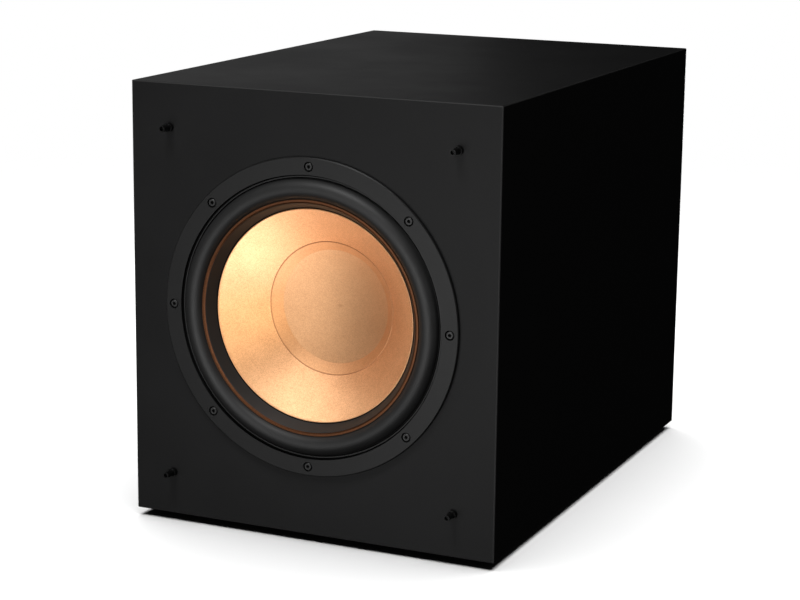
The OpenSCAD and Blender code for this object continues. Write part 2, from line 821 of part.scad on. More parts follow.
// A shallow V across the pivot, resting with its lower half pressed in
module power_rocker() {
    color("#141414") on_plate(rocker_pos) translate([0, 0, rocker_axis]) rotate([-rocker_rest, 0, 0]) {
        rotate([90, 0, 90]) translate([0, 0, -rocker_w / 2]) linear_extrude(rocker_w)
            polygon([[-rocker_l / 2, 4.2], [0, 2.6], [rocker_l / 2, 4.2], [rocker_l / 2 - 1, -5],
                [1 - rocker_l / 2, -5]]);
        rotate([0, 90, 0]) cylinder(h = rocker_w + 3, r = rocker_pin_r, center = true);
    }
}

socket_dz = 8;

module mains_inlet() {
    corner = 3;
    depth = 22;
    color("#131313") on_plate(inlet_pos) difference() {
        union() {
            translate([-inlet_w / 2 - 2, -inlet_h / 2 - 2, 0]) cube([inlet_w + 4, inlet_h + 4, inlet_lip]);
            translate([-inlet_w / 2, -inlet_h / 2, -depth]) cube([inlet_w, inlet_h, depth + eps]);
        }
        translate([0, -socket_dz, inlet_lip - socket_d]) linear_extrude(socket_d + 1)
            polygon([[-socket_w / 2, socket_h / 2], [socket_w / 2, socket_h / 2],
                [socket_w / 2, corner - socket_h / 2], [socket_w / 2 - corner, -socket_h / 2],
                [corner - socket_w / 2, -socket_h / 2], [-socket_w / 2, corner - socket_h / 2]]);
        translate([-drawer_w / 2 - 0.3, -drawer_dz - drawer_h / 2 - 0.3, inlet_lip - drawer_d - 0.6])
            cube([drawer_w + 0.6, drawer_h + 0.6, drawer_d + 2]);
    }
}

module inlet_pins() {
    blade = [2, 4, socket_d - 2];
    color("#c9b06a") on_plate(inlet_pos) for (p = [[-7, 1.5], [7, 1.5], [0, -3]])
        translate([p[0] - blade[0] / 2, -socket_dz + p[1] - blade[1] / 2, inlet_lip - socket_d]) cube(blade);
}

module fuse_drawer() {
    tray_z = inlet_lip - drawer_d;
    color("#1a1a1a") on_plate(inlet_pos) translate([0, -drawer_dz, 0]) difference() {
        union() {
            translate([-drawer_w / 2, -drawer_h / 2, tray_z]) cube([drawer_w, drawer_h, drawer_d]);
            translate([-4, drawer_h / 2 - 1.6, inlet_lip - eps]) cube([8, 1.6, 1.6]);
        }
        translate([-10.3, -drawer_h / 2 - 1, tray_z + 2]) cube([20.6, drawer_h / 2 + 1, 7]);
        translate([-10.3, 0, tray_z + 2 + fuse_dz]) rotate([0, 90, 0]) cylinder(h = 20.6, r = 2.6);
    }
}

module fuse() {
    tray_z = inlet_lip - drawer_d;
    color("#d8d8d8") on_plate(inlet_pos) translate([-10, -drawer_dz, tray_z + 2 + fuse_dz]) rotate([0, 90, 0]) {
        cylinder(h = 5, r = fuse_r);
        translate([0, 0, 5 - eps]) cylinder(h = 10 + 2 * eps, r = fuse_r - 0.3);
        translate([0, 0, 15]) cylinder(h = 5, r = fuse_r);
    }
}

module line_shells() {
    color("#cfae62") for (p = line_pos) on_plate(p) difference() {
        union() {
            translate([0, 0, -plate_t - 4]) cylinder(h = plate_t + 4 + line_ring_h, r = line_root_r);
            translate([0, 0, line_ring_h - eps]) cylinder(h = line_l + eps, r = line_r);
        }
        translate([0, 0, -plate_t - 3]) cylinder(h = 40, r = line_r - 1);
    }
}

module line_insulators() {
    color("#7a1f1f") for (p = line_pos) on_plate(p) {
        washer(0, line_ring_h, line_root_r + 0.02, line_ring_r);
        washer(-plate_t - 2.9, plate_t + 2.9 + line_l + 0.5, 1.6, line_r - 1.02);
    }
}

module status_lamp() {
    color("#3a6a9a") on_plate(lamp_pos) {
        translate([0, 0, -plate_t - 5]) cylinder(h = plate_t + 5.6, r = lamp_r);
        translate([0, 0, 0.6]) intersection() {
            sphere(lamp_r);
            translate([0, 0, lamp_r]) cube(2 * lamp_r, center = true);
        }
    }
}

// Two wires from the chassis, through a brace window, to the backs of the driver's tabs
module speaker_cable() {
    end = [block_x[1] + tab_l / 2, front_y - tab_z + 0.25, axis_z];
    color("#9c2f2f") for (s = [-1, 1]) {
        from = cable_start + [s * 3, 1, 0];
        to = end + [0, 0, s * tab_y];
        tube(curve_points(from, from - [0, 140, 0], to + [4, 190, 12], to, 24), cable_r);
    }
}

front_baffle();
rear_panel();
top_panel();
bottom_panel();
left_side_panel();
right_side_panel();
window_brace();
corner_battens();
damping_lining();
rubber_feet();
foot_screws();
grille_pegs();
driver_flange();
driver_basket();
frame_gasket();
driver_screws();
tee_nuts();
terminal_block();
terminal_tabs();
top_plate();
magnet_rings();
pole_yoke();
magnet_boot();
surround();
spider();
tinsel_leads();
cone();
cone_edge();
rim_ring();
dust_cap();
coil_former();
voice_coil();
amp_plate();
amp_gasket();
amp_screws();
heat_sink();
amp_chassis();
control_board();
power_board();
toroid_transformer();
toroid_bolt();
filter_capacitors();
output_transistors();
control_bodies();
level_knob();
level_shaft();
lowpass_knob();
lowpass_shaft();
phase_slider();
auto_slider();
rocker_bezel();
power_rocker();
mains_inlet();
inlet_pins();
fuse_drawer();
fuse();
line_shells();
line_insulators();
status_lamp();
speaker_cable();
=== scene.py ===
"""Looks for the powered subwoofer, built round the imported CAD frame. Metres, +Z up, the driver faces -Y."""
import json
import math

import bpy
from mathutils import Matrix, Vector
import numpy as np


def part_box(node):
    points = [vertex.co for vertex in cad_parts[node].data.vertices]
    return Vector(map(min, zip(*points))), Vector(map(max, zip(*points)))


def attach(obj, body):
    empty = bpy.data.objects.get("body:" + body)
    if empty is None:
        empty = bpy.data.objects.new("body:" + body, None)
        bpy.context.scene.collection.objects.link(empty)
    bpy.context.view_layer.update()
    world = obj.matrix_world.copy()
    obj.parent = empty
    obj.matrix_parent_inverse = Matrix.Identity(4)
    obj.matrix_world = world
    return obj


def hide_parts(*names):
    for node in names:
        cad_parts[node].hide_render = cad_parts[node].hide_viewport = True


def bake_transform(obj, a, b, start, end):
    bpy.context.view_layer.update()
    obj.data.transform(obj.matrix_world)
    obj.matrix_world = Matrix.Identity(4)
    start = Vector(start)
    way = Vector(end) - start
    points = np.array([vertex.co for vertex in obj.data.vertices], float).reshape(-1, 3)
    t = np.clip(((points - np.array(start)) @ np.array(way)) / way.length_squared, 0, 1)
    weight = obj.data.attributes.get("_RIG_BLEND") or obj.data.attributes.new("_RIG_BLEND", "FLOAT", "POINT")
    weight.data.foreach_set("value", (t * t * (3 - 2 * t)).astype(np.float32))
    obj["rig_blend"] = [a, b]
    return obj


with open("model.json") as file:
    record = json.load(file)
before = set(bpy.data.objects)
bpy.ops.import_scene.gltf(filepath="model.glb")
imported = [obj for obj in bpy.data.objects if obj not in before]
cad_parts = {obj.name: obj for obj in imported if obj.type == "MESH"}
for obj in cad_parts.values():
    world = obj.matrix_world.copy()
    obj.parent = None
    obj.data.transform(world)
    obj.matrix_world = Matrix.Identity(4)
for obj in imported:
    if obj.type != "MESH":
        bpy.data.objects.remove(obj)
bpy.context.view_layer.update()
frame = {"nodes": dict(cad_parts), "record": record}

NODES = frame["nodes"]
MM = 0.001


# ---- Camera ----

CAMERA_PLACE = (0.9377, -2.1479, 0.7176)


def aim_camera():
    """The photograph's view: a long lens, in front of the object and to its right."""
    yaw, pitch, roll = math.radians(24.22), math.radians(12.49), math.radians(0.69)
    forward = Vector((-math.sin(yaw) * math.cos(pitch), math.cos(yaw) * math.cos(pitch), -math.sin(pitch)))
    level = Vector((math.cos(yaw), math.sin(yaw), 0))
    upright = level.cross(forward)
    right = math.cos(roll) * level + math.sin(roll) * upright
    up = right.cross(forward)
    data = bpy.data.cameras.new("camera")
    data.lens = 99.4
    data.sensor_width = 36
    data.shift_x = -0.0045
    data.shift_y = -0.0108
    data.clip_end = 50
    camera = bpy.data.objects.new("camera", data)
    turn = Matrix((right, up, -forward)).transposed()
    camera.matrix_world = Matrix.Translation(CAMERA_PLACE) @ turn.to_4x4()
    bpy.context.scene.collection.objects.link(camera)
    bpy.context.scene.camera = camera


# ---- Materials ----

class Finish:
    """One procedural material: object-space noise drives its colour, roughness and height."""

    def __init__(self, slot, metallic=0.0, specular=0.5, coat=0.0, coat_rough=0.1, sheen=0.0):
        self.material = bpy.data.materials.new("finish_" + slot)
        self.material.use_nodes = True
        self.tree = self.material.node_tree
        self.shader = self.tree.nodes["Principled BSDF"]
        self.shader.inputs["Metallic"].default_value = metallic
        self.shader.inputs["Specular IOR Level"].default_value = specular
        self.shader.inputs["Coat Weight"].default_value = coat
        self.shader.inputs["Coat Roughness"].default_value = coat_rough
        self.shader.inputs["Sheen Weight"].default_value = sheen
        self.place = self.tree.nodes.new("ShaderNodeTexCoord").outputs["Object"]
        self.height = None

    def node(self, kind, **values):
        made = self.tree.nodes.new(kind)
        for name, value in values.items():
            if name in made.inputs:
                made.inputs[name].default_value = value
            else:
                setattr(made, name, value)
        return made

    def link(self, source, target):
        self.tree.links.new(source, target)

    def stretched(self, scale):
        mapping = self.node("ShaderNodeMapping")
        mapping.inputs["Scale"].default_value = scale
        self.link(self.place, mapping.inputs["Vector"])
        return mapping.outputs["Vector"]

    def noise(self, scale, detail=4.0, rough=0.55, where=None, distortion=0.0):
        made = self.node("ShaderNodeTexNoise", Scale=scale, Detail=detail, Roughness=rough,
                         Distortion=distortion)
        self.link(where or self.place, made.inputs["Vector"])
        return made.outputs["Fac"]

    def maths(self, operation, a, b=None, c=None):
        made = self.node("ShaderNodeMath")
        made.operation = operation
        for socket, value in zip(made.inputs, (a, b, c)):
            if value is None:
                continue
            if isinstance(value, (int, float)):
                socket.default_value = value
            else:
                self.link(value, socket)
        return made.outputs[0]

    def spread(self, factor, low, high, start=0.0, end=1.0):
        made = self.node("ShaderNodeMapRange")
        made.inputs["From Min"].default_value = start
        made.inputs["From Max"].default_value = end
        made.inputs["To Min"].default_value = low
        made.inputs["To Max"].default_value = high
        self.link(factor, made.inputs["Value"])
        return made.outputs["Result"]

    def ramp(self, factor, *stops):
        made = self.node("ShaderNodeValToRGB")
        while len(made.color_ramp.elements) < len(stops):
            made.color_ramp.elements.new(0.5)
        for element, (place, colour) in zip(made.color_ramp.elements, stops):
            element.position = place
            element.color = (*colour, 1)
        self.link(factor, made.inputs["Fac"])
        return made.outputs["Color"]

    def blend(self, factor, a, b):
        """Mixes two colours: sockets 6 and 7 are the node's colour pair, and output 2 is their mix."""
        made = self.node("ShaderNodeMix")
        made.data_type = "RGBA"
        for socket, value in ((made.inputs["Factor"], factor), (made.inputs[6], a), (made.inputs[7], b)):
            if isinstance(value, (int, float)):
                socket.default_value = value
            elif isinstance(value, tuple):
                socket.default_value = (*value, 1)
            else:
                self.link(value, socket)
        return made.outputs[2]

    def colour(self, source):
        self.link(source, self.shader.inputs["Base Color"])
        return self

    def rough(self, source):
        self.link(source, self.shader.inputs["Roughness"])
        return self

    def bump(self, source, depth, strength=1.0):
        """Adds a layer of height, depth in metres from 0 to 1 of its source."""
        made = self.node("ShaderNodeBump", Strength=strength, Distance=depth)
        self.link(source, made.inputs["Height"])
        if self.height is not None:
            self.link(self.height, made.inputs["Normal"])
        self.height = made.outputs["Normal"]
        self.link(self.height, self.shader.inputs["Normal"])
        return self


def grey(value, tint=(1, 1, 1)):
    return tuple(value * t for t in tint)


def speckled(slot, dark, light, rough, scale, depth, kind):
    """A finish whose colour and roughness follow a fine and a broad noise, with the fine one as its grain."""
    finish = Finish(slot, **kind)
    fine = finish.noise(scale, 3.0)
    broad = finish.noise(scale / 40, 2)
    both = finish.maths("MULTIPLY_ADD", fine, 0.7, finish.maths("MULTIPLY", broad, 0.3))
    finish.colour(finish.ramp(both, (0.3, dark), (0.7, light)))
    finish.rough(finish.spread(both, rough[0], rough[1], 0.3, 0.7))
    if depth:
        finish.bump(fine, depth)
    return finish


LACQUER_SHINE = 0.12
EDGE_HIGHLIGHT = 0.040


def lacquer(slot):
    """Satin black lacquer: a fine even grain, a faint broad unevenness, and a painted highlight: paler colour
    on the round edges.
    """
    finish = Finish(slot, specular=LACQUER_SHINE)
    fine = finish.noise(1900, 2.0)
    broad = finish.noise(9, 3.0)
    film = finish.ramp(finish.maths("MULTIPLY_ADD", fine, 0.6, finish.maths("MULTIPLY", broad, 0.4)),
                       (0.35, grey(0.0115)), (0.65, grey(0.0155, (1, 1, 1.02))))
    facing = finish.node("ShaderNodeVectorMath")
    facing.operation = "ABSOLUTE"
    finish.link(finish.node("ShaderNodeNewGeometry").outputs["Normal"], facing.inputs[0])
    parts = finish.node("ShaderNodeSeparateXYZ")
    finish.link(facing.outputs["Vector"], parts.inputs[0])
    widest = finish.maths("MAXIMUM", parts.outputs[0], parts.outputs[1])
    flat = finish.maths("MAXIMUM", widest, parts.outputs[2])
    # Painted highlight: the base colour turns paler where the normal leans off the faces, on the round edges.
    finish.colour(finish.blend(finish.spread(flat, 1.0, 0.0, 0.93, 0.998), film, grey(EDGE_HIGHLIGHT)))
    finish.rough(finish.spread(broad, 0.40, 0.46, 0.35, 0.65))
    finish.bump(fine, 0.00006, 0.5)
    return finish


def copper(slot, base, hot, rough, sparkle):
    """Metallic copper paint: flakes of slightly different tilt and tone under a satin film."""
    finish = Finish(slot, metallic=0.82, specular=0.5)
    flakes = finish.node("ShaderNodeTexVoronoi", Scale=1500.0)
    finish.link(finish.place, flakes.inputs["Vector"])
    parts = finish.node("ShaderNodeSeparateColor")
    finish.link(flakes.outputs["Color"], parts.inputs["Color"])
    cloud = finish.noise(60, 3)
    tone = finish.maths("MULTIPLY_ADD", parts.outputs[0], 0.6, finish.maths("MULTIPLY", cloud, 0.4))
    finish.colour(finish.ramp(tone, (0.15, base), (0.85, hot)))
    finish.rough(finish.spread(parts.outputs[1], rough[0], rough[1]))
    finish.bump(parts.outputs[2], 0.00005, sparkle)
    finish.bump(finish.noise(420, 2), 0.00010, 0.25)
    return finish


def wood(slot):
    """Pine with its rings along the batten."""
    finish = Finish(slot, specular=0.25)
    rings = finish.noise(30, 4, where=finish.stretched((1, 1, 0.06)), distortion=0.4)
    finish.colour(finish.ramp(rings, (0.35, (0.42, 0.26, 0.12)), (0.65, (0.60, 0.42, 0.23))))
    finish.rough(finish.spread(rings, 0.6, 0.8, 0.3, 0.7))
    return finish.bump(rings, 0.0002)


def cloth(slot):
    """The spider's resin-stiffened cloth."""
    finish = Finish(slot, specular=0.2, sheen=0.2)
    weave = finish.noise(1500, 2)
    finish.colour(finish.ramp(weave, (0.35, (0.45, 0.30, 0.09)), (0.65, (0.66, 0.47, 0.17))))
    finish.rough(finish.spread(weave, 0.75, 0.9))
    return finish.bump(weave, 0.0003)


PLAIN, METAL = {}, {"metallic": 1.0}

# Dark and light tone, least and most roughness, noise scale, depth of the grain in metres, and what else the
# shader is given.
SPECKLED = {
    "frame_paint": (grey(0.0085), grey(0.0125), (0.38, 0.48), 1400, 0.00006, {"specular": 0.30}),
    "peg_plastic": (grey(0.003), grey(0.006), (0.34, 0.46), 1700, 0.00003, {"specular": 0.22}),
    "foot_rubber": (grey(0.011), grey(0.018), (0.7, 0.85), 900, 0.0001, {"specular": 0.3}),
    "black_screw": (grey(0.030), grey(0.045), (0.34, 0.5), 2600, 0.00003, {"metallic": 0.5}),
    "zinc_steel": (grey(0.42, (0.98, 1, 1.02)), grey(0.62), (0.28, 0.45), 500, 0.00004, METAL),
    "motor_steel": (grey(0.36), grey(0.50), (0.32, 0.5), 500, 0.00004, METAL),
    "ferrite": (grey(0.03), grey(0.055), (0.5, 0.7), 900, 0.0001, PLAIN),
    "boot_rubber": (grey(0.012), grey(0.018), (0.55, 0.7), 900, 0.00006, PLAIN),
    "surround_rubber": (grey(0.016), grey(0.024), (0.47, 0.58), 2400, 0.00007, {"specular": 0.42}),
    "gasket_foam": (grey(0.0015), grey(0.004), (0.85, 0.95), 1500, 0.0001, {"specular": 0.05}),
    "bare_board": ((0.33, 0.22, 0.13), (0.43, 0.30, 0.18), (0.75, 0.9), 700, 0.0001, {"specular": 0.2}),
    "lining_wool": (grey(0.55), grey(0.75), (0.9, 1.0), 260, 0.002, {"specular": 0.1, "sheen": 0.4}),
    "tinsel_braid": ((0.55, 0.36, 0.22), (0.78, 0.62, 0.48), (0.3, 0.5), 2500, 0.0002, {"metallic": 0.9}),
    "former_foil": ((0.55, 0.5, 0.42), (0.7, 0.66, 0.58), (0.25, 0.4), 700, 0.00003, METAL),
    "coil_wire": ((0.50, 0.20, 0.08), (0.72, 0.36, 0.16), (0.25, 0.4), 1200, 0.0001, METAL),
    "winding_copper": ((0.50, 0.20, 0.08), (0.72, 0.36, 0.16), (0.25, 0.4), 1200, 0.0001, METAL),
    "plate_paint": (grey(0.017), grey(0.026), (0.48, 0.62), 1600, 0.00012, {"specular": 0.4}),
    "sink_anodised": (grey(0.018), grey(0.028), (0.3, 0.42), 1300, 0.00003, {"metallic": 0.6}),
    "chassis_sheet": (grey(0.42), grey(0.55), (0.3, 0.5), 90, 0.00003, METAL),
    "board_green": ((0.012, 0.07, 0.022), (0.02, 0.11, 0.04), (0.3, 0.45), 400, 0.00003, PLAIN),
    "capacitor_sleeve": ((0.012, 0.015, 0.05), (0.018, 0.022, 0.07), (0.25, 0.4), 400, 0.00002, PLAIN),
    "transistor_case": (grey(0.02), grey(0.03), (0.5, 0.7), 900, 0.00006, PLAIN),
    "pot_metal": (grey(0.5), grey(0.65), (0.3, 0.45), 500, 0.00003, METAL),
    "knob_plastic": (grey(0.012), grey(0.018), (0.34, 0.46), 1500, 0.00004, {"specular": 0.45}),
    "slider_plastic": (grey(0.02), grey(0.03), (0.35, 0.5), 1500, 0.00003, PLAIN),
    "rocker_plastic": (grey(0.012), grey(0.018), (0.22, 0.34), 900, 0.00002, PLAIN),
    "inlet_plastic": (grey(0.013), grey(0.02), (0.36, 0.5), 1200, 0.00004, PLAIN),
    "inlet_brass": ((0.62, 0.60, 0.56), (0.75, 0.72, 0.68), (0.2, 0.35), 700, 0.00002, METAL),
    "fuse_glass": (grey(0.6), grey(0.7), (0.05, 0.12), 300, 0.0, PLAIN),
    "socket_gold": ((0.78, 0.52, 0.18), (0.90, 0.64, 0.26), (0.18, 0.32), 900, 0.00002, METAL),
    "socket_insulator": (grey(0.5), grey(0.62), (0.3, 0.45), 900, 0.00002, PLAIN),
    "lamp_lens": ((0.02, 0.09, 0.22), (0.03, 0.14, 0.34), (0.12, 0.2), 500, 0.00002, {"coat": 0.6}),
    "block_plastic": (grey(0.02), grey(0.03), (0.4, 0.55), 900, 0.00003, PLAIN),
    "wire_jacket": (grey(0.02), grey(0.03), (0.35, 0.5), 1200, 0.00003, PLAIN),
}

# Darker and brighter flakes, least and most roughness, and how strongly the flakes tilt.
COPPERS = {
    "cone_copper": ((0.66, 0.355, 0.178), (0.88, 0.53, 0.288), (0.42, 0.60), 0.35),
    "rim_copper": ((0.094, 0.034, 0.013), (0.145, 0.056, 0.022), (0.34, 0.48), 0.15),
    "seam_copper": ((0.42, 0.17, 0.07), (0.54, 0.23, 0.10), (0.42, 0.55), 0.15),
    "cap_copper": ((0.66, 0.36, 0.178), (0.80, 0.47, 0.248), (0.48, 0.62), 0.2),
}


def make_finishes():
    """A finish for each material slot of the record, and seam_copper for the seam round the dust cap."""
    made = {slot: speckled(slot, *row) for slot, row in SPECKLED.items()}
    made.update({slot: copper(slot, *row) for slot, row in COPPERS.items()})
    made.update({slot: lacquer(slot) for slot in ("baffle_lacquer", "cabinet_lacquer")})
    made["batten_wood"] = wood("batten_wood")
    made["spider_cloth"] = cloth("spider_cloth")
    return {slot: finish.material for slot, finish in made.items()}


def paint_frame(finishes):
    """Gives every CAD node the finish of its slot in the record."""
    slot_of = {row["node"]: row["material_slot"] for row in frame["record"]["subparts"]}
    for name, piece in NODES.items():
        for slot in piece.material_slots:
            slot.material = finishes[slot_of[name]]


# ---- Pieces ----

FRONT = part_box("front_baffle")[0][1]
AXIS = (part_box("cone")[0][2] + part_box("cone")[1][2]) / 2
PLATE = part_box("amp_plate")[1][1]

# Radii and heights forward of the baffle, in millimetres.
LIP_FOOT = (107.1, -8.2)    # the surround's lip meets the cone here
CONE_SLOPE = 0.979          # fall of the cone's face for each millimetre inward


def on_driver(r, forward, turn):
    """A point round the driver's axis: radius and height off the baffle in millimetres, turn in radians."""
    return r * MM * math.cos(turn), FRONT - forward * MM, AXIS + r * MM * math.sin(turn)


def add_piece(name, points, faces, finish, sharp=50):
    """A smooth mesh whose edges stay sharp above an angle in degrees."""
    mesh = bpy.data.meshes.new(name)
    mesh.from_pydata(points, [], faces)
    mesh.materials.append(finish)
    mesh.shade_smooth()
    mesh.set_sharp_from_angle(angle=math.radians(sharp))
    piece = bpy.data.objects.new(name, mesh)
    bpy.context.scene.collection.objects.link(piece)
    return piece


def lathe(name, outline, finish, steps=288):
    """Turns a closed outline of (radius, forward) points, in millimetres, round the driver's axis."""
    points = [on_driver(r, z, 2 * math.pi * k / steps) for k in range(steps) for r, z in outline]
    n = len(outline)
    faces = [(k * n + i, k * n + (i + 1) % n, (k + 1) % steps * n + (i + 1) % n, (k + 1) % steps * n + i)
             for k in range(steps) for i in range(n)]
    return add_piece(name, points, faces, finish)


def arc(centre, radius, start, end, steps):
    """Points on an arc of an outline, angles in degrees from the outward direction."""
    turns = [math.radians(start + (end - start) * i / steps) for i in range(steps + 1)]
    return [(centre[0] + radius * math.cos(t), centre[1] + radius * math.sin(t)) for t in turns]


def flex(piece, node, weigh):
    """Stands for a CAD node that bends between the frame and the cone.
    weigh gives each vertex its share of the cone's travel."""
    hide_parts(node)
    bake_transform(piece, "cabinet", "cone_assembly", start=on_driver(137, 0, 0), end=on_driver(117, 0, 0))
    share = piece.data.attributes["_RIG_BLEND"]
    for vertex, row in zip(piece.data.vertices, share.data):
        row.value = weigh(vertex)


def ease(value):
    """A smooth step from 0 to 1."""
    value = min(1.0, max(0.0, value))
    return value * value * (3 - 2 * value)


def radial(outer, inner):
    """A weight that goes from 0 at the outer radius to 1 at the inner one, in millimetres."""
    def weigh(vertex):
        r = math.hypot(vertex.co.x, vertex.co.z - AXIS) / MM
        return ease((outer - r) / (outer - inner))
    return weigh


def make_surround(finish):
    """The rubber half roll: a foot on the frame, the roll, a flat rim and a steep lip down to the cone."""
    roll, outer, inner, rim = (126.8, 0.0), 10.0, 8.6, 3.4
    thick = outer - inner
    outline = [(140.7, -1.5), (140.7, -0.2), (140.5, 0.0), (139.5, 0.0), (139.4, 0.6), (138.5, 0.6),
               (138.4, 0.0), (137.2, 0.0), (136.8, 0.3)]
    outline += arc(roll, outer, 3, 180 - math.degrees(math.asin(rim / outer)), 26)
    outline += [(116.9, rim), (114.1, rim), (113.5, rim - 0.25), (113.2, rim - 0.75), LIP_FOOT]
    outline += [(108.5, -6.83), (115.0, rim - thick)]
    outline += arc(roll, inner, 180 - math.degrees(math.asin((rim - thick) / inner)), 0, 22)
    outline += [(135.4, -1.5)]
    flex(lathe("surround_roll", outline, finish), "surround", radial(137, 117.5))


def make_driver_trim(painted_shade, copper_skin, ring):
    """Black strips beside the foot's ridge and a black ring where the lip meets the cone, both painted shade
    for the shadowed gaps there; the cone's hem; and the seam round the dust cap.
    Returns the hem and the seam, which the copper's lights reach."""
    back, front = 0.05, 0.3
    # Painted shade: black strips in the grooves beside the foot's ridge, where the shadow falls.
    for name, inner, outer in (("shade_strip_inner", 137.25, 138.35), ("shade_strip_outer", 139.55, 140.95)):
        strip = lathe(name, [(inner, back), (outer, back), (outer, front), (inner, front)], painted_shade)
        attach(strip, "cabinet")
    # Painted shade: a black ring where the lip meets the cone, in the shadowed gap there.
    shade_ring = lathe("cone_shade_ring", arc((107.2, -8.4), 0.72, 0, 345, 23), painted_shade)
    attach(shade_ring, "cone_assembly")
    hem = lathe("cone_hem", arc((105.8, -8.35), 0.6, 0, 345, 23), copper_skin)
    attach(hem, "cone_assembly")
    seam_r = (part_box("dust_cap")[1][0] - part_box("dust_cap")[0][0]) / 2 / MM
    level = LIP_FOOT[1] - (LIP_FOOT[0] - seam_r) * CONE_SLOPE
    seam = lathe("cap_glue", arc((seam_r + 0.3, level + 0.3), 0.26, 0, 330, 11), ring)
    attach(seam, "cone_assembly")
    return [hem, seam]


def make_screw_shade(painted_shade):
    """Painted shade at each driver screw: a black ring in the recess round its head and a black disc low in
    its socket.
    """
    screws, circle, sides = 8, 149, 32
    # Painted shade: a black ring in the recess and a black disc in the socket, where the shadow falls.
    recess_shade = (3.74, 4.86, 1.62, 1.95)
    socket_shade = (0.02, 1.6, 1.92, 2.6)
    points, faces = [], []

    def ring_of(centre, inner, outer, low, high):
        """A ring of square section, from one radius to another and from one height to another."""
        base = len(points)
        for r, z in ((inner, low), (outer, low), (outer, high), (inner, high)):
            for k in range(sides):
                turn = 2 * math.pi * k / sides
                x, up = centre[0] + r * math.cos(turn), centre[1] + r * math.sin(turn)
                points.append((x * MM, FRONT - z * MM, AXIS + up * MM))
        for loop in range(4):
            for k in range(sides):
                a, b = base + loop * sides, base + (loop + 1) % 4 * sides
                faces.append((a + k, a + (k + 1) % sides, b + (k + 1) % sides, b + k))

    for i in range(screws):
        turn = math.radians(90 + 360 / screws * i)
        centre = (circle * math.cos(turn), circle * math.sin(turn))
        ring_of(centre, *recess_shade)
        ring_of(centre, *socket_shade)
    trim = add_piece("screw_shade", points, faces, painted_shade, sharp=30)
    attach(trim, "cabinet")


def make_spider(finish):
    """The corrugated cloth disc that centres the coil."""
    inside, flat_in, flat_out, outside = 38.5, 44, 74, 86
    waves, height, thick, level, steps = 5, 2, 0.8, -92.6, 80
    upper = [(inside, level)]
    for i in range(steps + 1):
        upper.append((flat_in + (flat_out - flat_in) * i / steps,
                      level + height * math.sin(2 * math.pi * waves * i / steps)))
    upper.append((outside, level))
    lower = [(r, z - thick) for r, z in reversed(upper)]
    disc = lathe("spider_cloth", upper + lower, finish, 180)
    flex(disc, "spider", radial(flat_out, flat_in))


def make_leads(finish):
    """Two braided leads from the terminal block to the back of the cone, twisted like rope."""
    radius, sides, steps, turns = 0.82, 12, 48, 9
    points, faces, shares = [], [], []
    for side in (-1, 1):
        start, end = Vector((87.6, side * 6, -82.4)), Vector((58, side * 8, -60.31))
        grips = (start, start - Vector((10, 0, 2)), end + Vector((6, 0, -12)), end)
        route = []
        for i in range(steps + 1):
            t = i / steps
            parts = ((1 - t) ** 3, 3 * (1 - t) ** 2 * t, 3 * (1 - t) * t * t, t ** 3)
            route.append(sum((share * grip for share, grip in zip(parts, grips)), Vector()))
        base = len(points)
        for i, place in enumerate(route):
            ahead = (route[min(i + 1, steps)] - route[max(i - 1, 0)]).normalized()
            across = ahead.cross(Vector((0, 1, 0))).normalized()
            up = ahead.cross(across)
            for k in range(sides):
                turn = 2 * math.pi * k / sides
                bulge = radius * (1 + 0.09 * math.cos(3 * turn + 2 * math.pi * turns * i / steps))
                spot = place + bulge * (math.cos(turn) * across + math.sin(turn) * up)
                points.append((spot.x * MM, FRONT - spot.z * MM, AXIS + spot.y * MM))
                shares.append(ease(i / steps))
        for i in range(steps):
            for k in range(sides):
                a, b = base + i * sides + k, base + i * sides + (k + 1) % sides
                faces.append((a, b, b + sides, a + sides))
        faces.append(tuple(base + k for k in reversed(range(sides))))
        faces.append(tuple(base + steps * sides + k for k in range(sides)))
    leads = add_piece("tinsel_braid", points, faces, finish)
    flex(leads, "tinsel_leads", lambda vertex: shares[vertex.index])


def soften(width, *names):
    """Rounds the edges of CAD nodes a little, as moulding, machining or paint does."""
    for name in names:
        weld = NODES[name].modifiers.new("weld", "WELD")
        weld.merge_threshold = 1e-6
        bevel = NODES[name].modifiers.new("round", "BEVEL")
        bevel.width = width * MM
        bevel.segments = 2
        bevel.limit_method = "ANGLE"
        bevel.angle_limit = math.radians(40)


def make_panel_marks(finish):
    """Thin printed marks on the rear panel: scales round the knobs, dots beside the switches, and a rule."""
    proud, row = 0.12, 112
    knobs, ticks, tick_start, tick_half = (-62, -12), 11, 14.2, 0.3
    switches, dot_away, dot_r, dot_sides = (36, 70), 8, 0.8, 20
    rule_left, rule_right, rule_low, rule_high = -61, -1, 54.25, 54.75
    points, faces = [], []

    def slab(corners):
        base = len(points)
        for height in (0, proud):
            points.extend((x * MM, PLATE + height * MM, AXIS + z * MM) for x, z in corners)
        n = len(corners)
        faces.append(tuple(base + n + k for k in range(n)))
        faces.append(tuple(base + n - 1 - k for k in range(n)))
        faces.extend((base + k, base + (k + 1) % n, base + n + (k + 1) % n, base + n + k) for k in range(n))

    for knob_x in knobs:
        for step in range(ticks):
            turn = math.radians(90 + 30 * (step - 5))
            ahead, aside = (math.cos(turn), math.sin(turn)), (-math.sin(turn), math.cos(turn))
            end = 17.2 if step in (0, 5, 10) else 16.0
            corners = ((tick_start, -tick_half), (end, -tick_half), (end, tick_half), (tick_start, tick_half))
            slab([(knob_x + r * ahead[0] + w * aside[0], row + r * ahead[1] + w * aside[1])
                  for r, w in corners])
    for switch_x in switches:
        for dot_x in (switch_x - dot_away, switch_x + dot_away):
            turns = [2 * math.pi * k / dot_sides for k in range(dot_sides)]
            slab([(dot_x + dot_r * math.cos(turn), row + dot_r * math.sin(turn)) for turn in turns])
    slab([(rule_left, rule_low), (rule_right, rule_low), (rule_right, rule_high), (rule_left, rule_high)])
    marks = add_piece("panel_marks", points, faces, finish, sharp=30)
    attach(marks, "cabinet")


# ---- Studio ----

ROOM_LIGHT = 0.008
BLACK_SPREAD = 90

